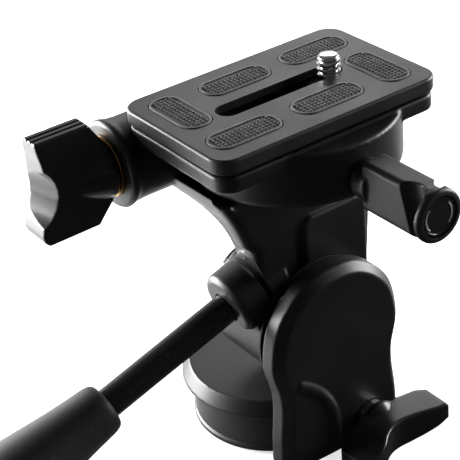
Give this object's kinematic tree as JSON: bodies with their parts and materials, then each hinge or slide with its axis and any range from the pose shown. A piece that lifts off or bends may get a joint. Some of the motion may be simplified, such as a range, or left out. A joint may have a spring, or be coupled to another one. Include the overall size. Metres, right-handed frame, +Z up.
{
  "type": "three way pan tilt head",
  "caption": "Black three way pan tilt head with a quick release plate, a rubber gripped tilt handle, winged locking knobs and one side arm.",
  "frame": {"origin": "on the pan axis, at the mounting face under the base", "axes": "+Z up, +X along the tilt axis towards the arm, +Y the way the lens points, away from the handle"},
  "size_m": [0.0957, 0.1901, 0.1126],
  "materials": {
    "casting": "satin black paint",
    "plate": "fine matte dark grey coat",
    "plastic": "moulded black plastic with a satin sheen",
    "rubber": "fine matte moulded rubber",
    "pad_rubber": "dark rubber with a fine raised diamond pattern",
    "rod": "glossy black coat",
    "steel": "turned steel",
    "chrome": "bright plated steel",
    "brass": "turned brass",
    "nylon": "natural nylon"
  },
  "bodies": {
    "base": {"pan_base": "casting", "tripod_bush": "steel", "pan_friction_disc": "nylon"},
    "pan": {"pan_yoke": "casting", "pan_screw": "steel", "pan_screw_washer": "steel", "tilt_axle": "steel", "tilt_drum": "steel", "tilt_friction_washer": "nylon", "tilt_washer": "steel", "tilt_nut": "steel", "pan_lock_collar": "chrome"},
    "pan_lock": {"pan_lock_screw": "steel", "pan_lock_knob": "plastic"},
    "pan_shoe": {"pan_lock_shoe": "nylon"},
    "tilt": {"tilt_body": "casting", "tilt_liner": "nylon", "tilt_end_cap": "plastic", "side_tilt_ring": "brass"},
    "handle": {"handle_rod": "rod", "handle_grip": "rubber", "grip_end_cap": "plastic"},
    "side_knob": {"side_tilt_knob": "plastic", "side_tilt_insert": "brass"},
    "platform": {"platform": "casting", "side_tilt_shaft": "steel", "release_clip": "steel", "quick_plate": "plate", "pad_rear_end": "pad_rubber", "pad_front_end": "pad_rubber", "pad_left_rear": "pad_rubber", "pad_left_front": "pad_rubber", "pad_right_rear": "pad_rubber", "pad_right_front": "pad_rubber"},
    "release": {"release_knob": "plastic", "release_screw": "steel", "release_cap": "plastic"},
    "jaw": {"clamp_jaw": "steel"},
    "screw_slide": {"camera_screw_clip": "steel"},
    "screw": {"camera_screw": "chrome"}
  },
  "joints": [
    {"name": "pan", "type": "hinge", "parent": "base", "child": "pan", "pos_m": [0, 0, 0.014], "axis": [0, 0, 1], "continuous": true},
    {"name": "tilt", "type": "hinge", "parent": "pan", "child": "tilt", "pos_m": [0, 0, 0.0405], "axis": [1, 0, 0], "range_deg": [-90, 30]},
    {"name": "side_tilt", "type": "hinge", "parent": "tilt", "child": "platform", "pos_m": [-0.011, 0, 0.0913], "axis": [0, -1, 0], "range_deg": [0, 90]},
    {"name": "handle_turn", "type": "hinge", "parent": "tilt", "child": "handle", "pos_m": [0.0143, -0.015, 0.0542], "axis": [0, -0.9568, -0.2907], "range_deg": [0, 180]},
    {"name": "side_knob_turn", "type": "hinge", "parent": "tilt", "child": "side_knob", "pos_m": [-0.011, -0.05, 0.0913], "axis": [0, -1, 0], "range_deg": [-180, 180]},
    {"name": "pan_lock_turn", "type": "hinge", "parent": "pan", "child": "pan_lock", "pos_m": [0.036, 0.009, 0.0098], "axis": [1, 0, 0], "range_deg": [0, 180]},
    {"name": "pan_shoe_slide", "type": "slide", "parent": "pan", "child": "pan_shoe", "axis": [1, 0, 0], "range_m": [0, 0.0004]},
    {"name": "release_turn", "type": "hinge", "parent": "platform", "child": "release", "pos_m": [0.0422, 0.0035, 0.0926], "axis": [1, 0, 0], "range_deg": [0, 360]},
    {"name": "jaw_slide", "type": "slide", "parent": "platform", "child": "jaw", "axis": [1, 0, 0], "range_m": [0, 0.002]},
    {"name": "screw_slide", "type": "slide", "parent": "platform", "child": "screw_slide", "axis": [0, -1, 0], "range_m": [0, 0.032]},
    {"name": "screw_turn", "type": "hinge", "parent": "screw_slide", "child": "screw", "pos_m": [0.0135, 0.016, 0.108], "axis": [0, 0, 1], "continuous": true}
  ],
  "couplings": [
    {"joint": "pan_shoe_slide", "follows": "pan_lock_turn", "m_per_rad": 0.00012732},
    {"joint": "release_turn", "follows": "jaw_slide", "rad_per_m": 3141.6}
  ]
}
